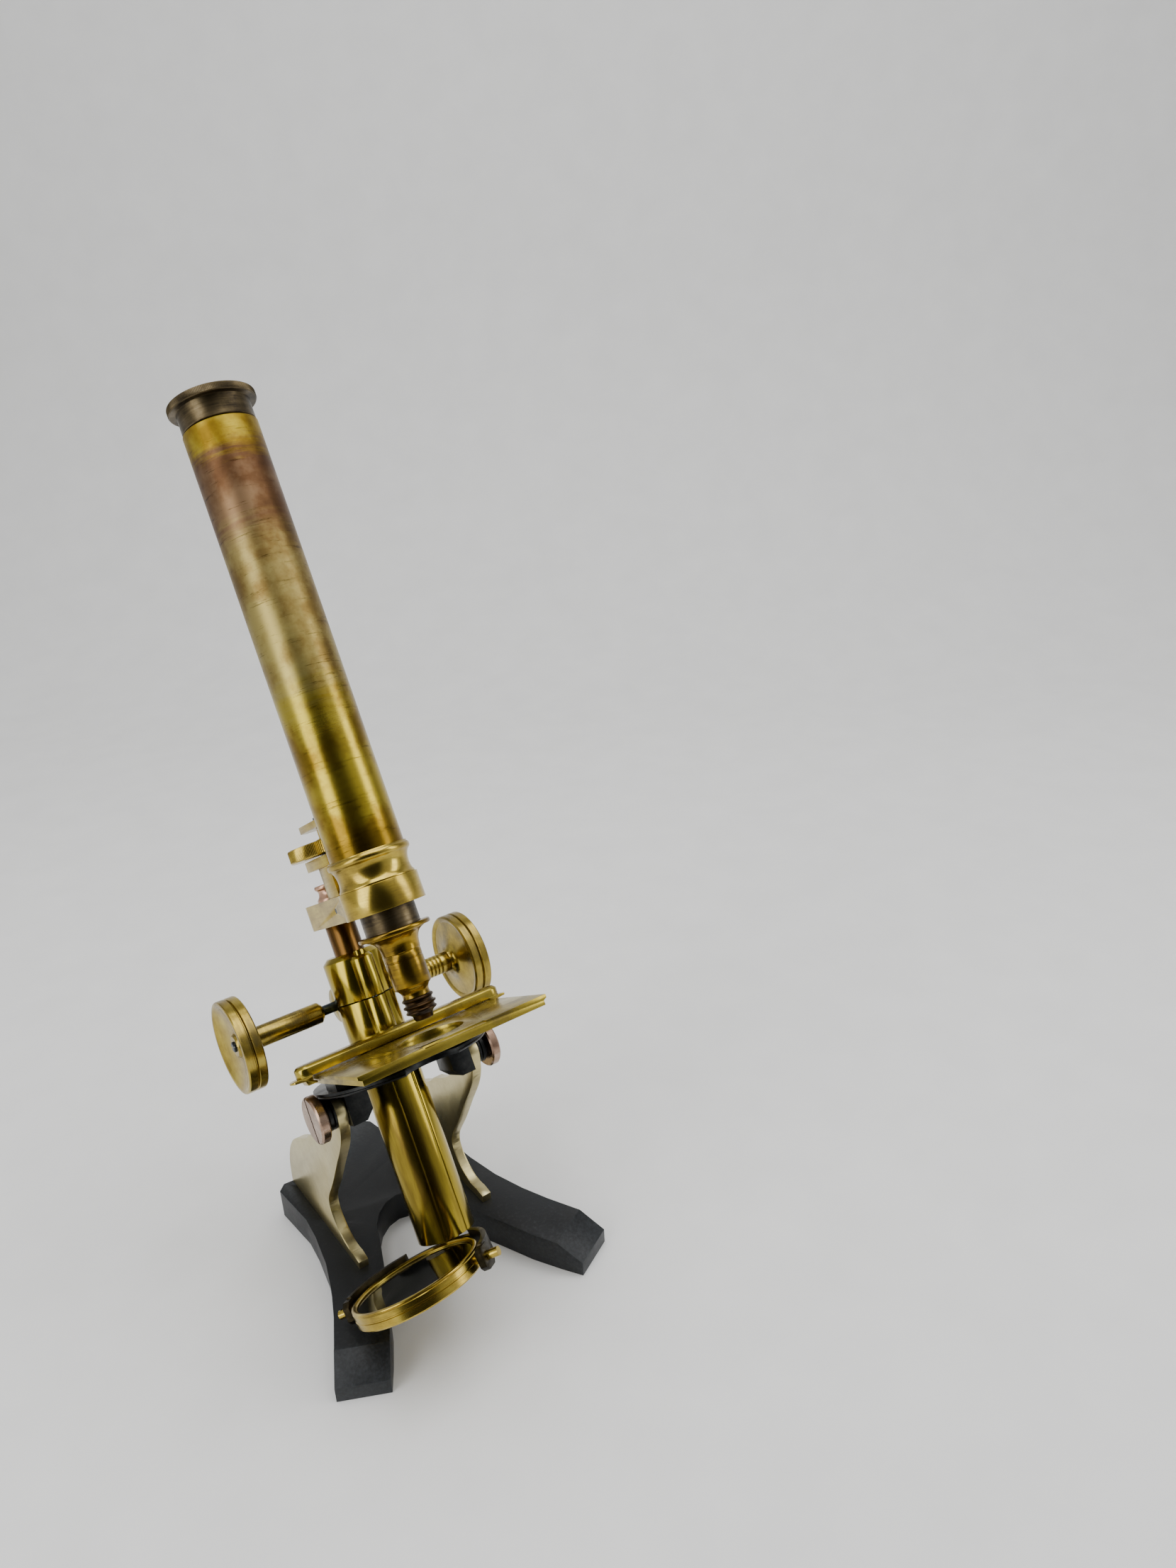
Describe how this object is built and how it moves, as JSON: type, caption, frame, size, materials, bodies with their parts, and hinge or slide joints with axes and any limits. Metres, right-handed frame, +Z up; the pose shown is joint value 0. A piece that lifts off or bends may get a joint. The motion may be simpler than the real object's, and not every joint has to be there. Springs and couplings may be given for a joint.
{
  "type": "compound microscope",
  "caption": "Brass monocular compound microscope: inclining limb on twin uprights and a black splayed foot, rack focus, lever fine focus, stage and swinging mirror.",
  "frame": {"origin": "on the underside of the foot's rear web, on the centre plane, 45 mm behind the trunnion axis", "axes": "+Z up, +Y to the rear, +X to the right seen from the front; the tube leans back 29.3 degrees at rest"},
  "size_m": [0.1512, 0.2112, 0.4227],
  "materials": {
    "japanned_iron": "satin black japanning with worn edges",
    "lacquered_brass": "polished and lacquered, with streaks of tarnish",
    "aged_brass": "dull olive-brown where handled",
    "dark_bronze": "dark oxidised bronze, satin",
    "blackened_brass": "chemically blackened",
    "copper_bronze": "pinkish bronze, polished",
    "steel": "blued and brushed",
    "lens_glass": "clear polished",
    "mirror_glass": "aged silvering"
  },
  "bodies": {
    "base": {"foot": "japanned_iron", "upright_right": "lacquered_brass", "upright_left": "lacquered_brass", "upright_screws": "steel", "trunnion_washers": "blackened_brass"},
    "limb": {"cradle": "blackened_brass", "trunnion_screws": "copper_bronze", "pillar_lower": "lacquered_brass", "pillar_cap": "lacquered_brass", "pillar_screw": "steel", "tail_tube": "lacquered_brass", "tail_plug": "lacquered_brass", "arm_washer": "lacquered_brass", "stage_plate": "aged_brass", "stage_pillars": "blackened_brass", "stage_screws": "steel"},
    "pinion": {"pinion": "steel", "knob_right": "lacquered_brass", "knob_left": "lacquered_brass", "sleeve_right": "lacquered_brass", "sleeve_left": "lacquered_brass", "knob_screws": "steel"},
    "carriage": {"stem": "copper_bronze", "rack": "steel", "arm": "lacquered_brass", "arm_nut": "copper_bronze", "tube_collar": "lacquered_brass", "body_tube": "lacquered_brass", "tube_screw": "steel", "tube_lining": "lacquered_brass", "focus_bracket": "lacquered_brass", "bracket_post": "lacquered_brass", "bracket_screws": "steel", "lever_pin": "steel", "nose_spring": "steel", "spring_ring": "dark_bronze"},
    "fine_wheel": {"fine_wheel": "lacquered_brass"},
    "fine_screw": {"fine_screw": "steel"},
    "lever": {"fine_lever": "steel"},
    "nose": {"nose_tube": "dark_bronze", "objective_mount": "lacquered_brass", "objective_body": "lacquered_brass", "objective_cell": "dark_bronze", "front_lens": "lens_glass", "rear_lens": "lens_glass"},
    "eyepiece": {"eyepiece_tube": "dark_bronze", "eyepiece_cap": "dark_bronze", "field_stop": "dark_bronze", "lens_rings": "dark_bronze", "field_lens": "lens_glass", "eye_lens": "lens_glass"},
    "slide_bar": {"slide_bar": "lacquered_brass", "bar_clips": "lacquered_brass", "bar_screws": "steel"},
    "mirror_arm": {"mirror_arm": "lacquered_brass", "gimbal_screw": "steel"},
    "gimbal": {"gimbal": "dark_bronze"},
    "mirror": {"mirror_bezel": "lacquered_brass", "mirror_glass": "mirror_glass", "mirror_pins": "lacquered_brass"}
  },
  "joints": [
    {"name": "incline", "type": "hinge", "parent": "base", "child": "limb", "pos_m": [0, -0.045, 0.1087], "axis": [1, 0, 0], "range_deg": [-30.7, 6]},
    {"name": "coarse_spin", "type": "hinge", "parent": "limb", "child": "pinion", "pos_m": [0, -0.00039, 0.1324], "axis": [1, 0, 0], "range_deg": [-477, 77]},
    {"name": "coarse_focus", "type": "slide", "parent": "limb", "child": "carriage", "axis": [0, 0.4894, 0.8721], "range_m": [-0.0064, 0.0396]},
    {"name": "fine_spin", "type": "hinge", "parent": "carriage", "child": "fine_wheel", "pos_m": [0, 0.00528, 0.21465], "axis": [0, 0.4894, 0.8721], "range_deg": [-720, 720]},
    {"name": "fine_screw_travel", "type": "slide", "parent": "carriage", "child": "fine_screw", "axis": [0, 0.4894, 0.8721], "range_m": [-0.00052, 0.00052]},
    {"name": "fine_lever_rock", "type": "hinge", "parent": "carriage", "child": "lever", "pos_m": [0, -0.02335, 0.19631], "axis": [1, 0, 0], "range_deg": [-1.84, 1.84]},
    {"name": "fine_focus", "type": "slide", "parent": "carriage", "child": "nose", "axis": [0, 0.4894, 0.8721], "range_m": [-0.00048, 0.00048]},
    {"name": "eyepiece_draw", "type": "slide", "parent": "carriage", "child": "eyepiece", "axis": [0, 0.4894, 0.8721], "range_m": [0, 0.02]},
    {"name": "slide_rest", "type": "slide", "parent": "limb", "child": "slide_bar", "axis": [0, 0.8721, -0.4894], "range_m": [-0.02, 0.007]},
    {"name": "mirror_swing", "type": "hinge", "parent": "limb", "child": "mirror_arm", "pos_m": [0, -0.07315, 0.02932], "axis": [0, 0.4894, 0.8721], "range_deg": [0, 80]},
    {"name": "mirror_roll", "type": "hinge", "parent": "mirror_arm", "child": "gimbal", "pos_m": [-0.03028, -0.09909, 0.04285], "axis": [0.7193, 0.6058, -0.34], "range_deg": [0, 14]},
    {"name": "mirror_tilt", "type": "hinge", "parent": "gimbal", "child": "mirror", "pos_m": [-0.03028, -0.09909, 0.04285], "axis": [0.6895, -0.563, 0.4557], "range_deg": [-42, 0]}
  ],
  "couplings": [
    {"joint": "coarse_spin", "follows": "coarse_focus", "rad_per_m": -208.33},
    {"joint": "fine_spin", "follows": "fine_focus", "rad_per_m": 26039},
    {"joint": "fine_screw_travel", "follows": "fine_focus", "ratio": -1.0526},
    {"joint": "fine_lever_rock", "follows": "fine_focus", "rad_per_m": -65.79}
  ]
}
